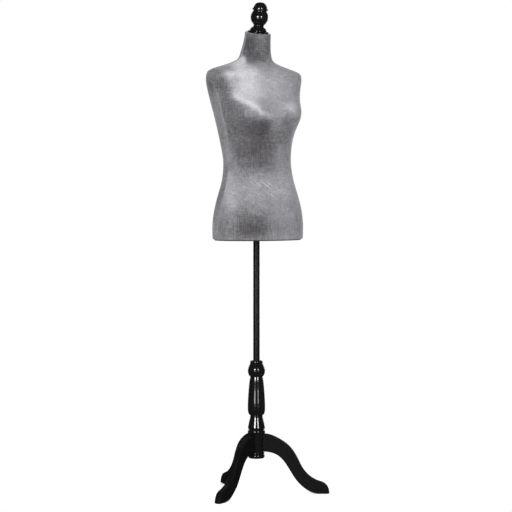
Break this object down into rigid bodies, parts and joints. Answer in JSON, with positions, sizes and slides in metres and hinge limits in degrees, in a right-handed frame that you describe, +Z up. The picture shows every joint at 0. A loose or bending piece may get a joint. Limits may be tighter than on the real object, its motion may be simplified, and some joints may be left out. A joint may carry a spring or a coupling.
{
  "type": "dress form mannequin",
  "caption": "Velvet-covered female dress form torso on a height-adjustable tube, turned wooden post with ball lock knob and a curved wooden tripod, with a turned finial on the neck.",
  "frame": {"origin": "middle of the footprint on the floor", "axes": "+Z up, -Y the way the chest faces, +X the form's left side"},
  "size_m": [0.436, 0.3785, 1.6503],
  "materials": {
    "lacquered_wood": "gloss",
    "painted_wood": "satin",
    "bare_wood": "matte",
    "plywood": "matte",
    "black_board": "satin",
    "painted_tube": "gloss",
    "zinc_steel": "satin",
    "brass": "satin",
    "black_plastic": "satin",
    "foot_pad": "matte",
    "foam": "matte",
    "velvet": "matte",
    "felt": "matte"
  },
  "bodies": {
    "stand": {"post": "lacquered_wood", "hub_cap": "lacquered_wood", "hub_cap_screws": "zinc_steel", "leg_front_left": "painted_wood", "leg_front_right": "painted_wood", "leg_back": "painted_wood", "foot_pads": "foot_pad", "collet_sleeve": "black_plastic", "guide_bush": "black_plastic"},
    "clamp": {"clamp_ring": "brass"},
    "lock_knob": {"lock_knob": "lacquered_wood", "lock_knob_insert": "brass", "lock_collar": "lacquered_wood"},
    "pole": {"pole": "painted_tube", "pole_foot_plug": "black_plastic", "pole_top_plug": "black_plastic"},
    "torso": {"cover_front": "velvet", "cover_back_right": "velvet", "cover_back_left": "velvet", "torso_core_front": "foam", "torso_core_back": "foam", "base_board": "plywood", "bottom_panel": "black_board", "socket_tube": "zinc_steel", "socket_cap": "zinc_steel", "socket_flange": "zinc_steel", "flange_screws": "zinc_steel", "neck_block": "bare_wood", "neck_cap": "lacquered_wood", "finial_stud": "zinc_steel"},
    "finial_carrier": {"finial_washer": "felt"},
    "finial": {"finial": "lacquered_wood", "finial_insert": "brass"}
  },
  "joints": [
    {"name": "pole_slide", "type": "slide", "parent": "stand", "child": "pole", "axis": [0, 0, 1], "range_m": [-0.32, 0.03]},
    {"name": "torso_turn", "type": "hinge", "parent": "pole", "child": "torso", "pos_m": [0, -0.0572, 1.013], "axis": [0, 0, 1], "continuous": true},
    {"name": "clamp_slide", "type": "slide", "parent": "stand", "child": "clamp", "axis": [0, 0, 1], "range_m": [0, 0.003]},
    {"name": "knob_turn", "type": "hinge", "parent": "clamp", "child": "lock_knob", "pos_m": [0, -0.0572, 0.417], "axis": [0, 0, 1], "range_deg": [0, 541]},
    {"name": "finial_rise", "type": "slide", "parent": "torso", "child": "finial_carrier", "axis": [0, -0.2004, 0.9797], "range_m": [0, 0.01]},
    {"name": "finial_turn", "type": "hinge", "parent": "finial_carrier", "child": "finial", "pos_m": [0, -0.0682, 1.55], "axis": [0, -0.2004, 0.9797], "range_deg": [0, 2881]}
  ],
  "couplings": [
    {"joint": "knob_turn", "follows": "clamp_slide", "rad_per_m": 3141.6},
    {"joint": "finial_turn", "follows": "finial_rise", "rad_per_m": 5026.5}
  ]
}
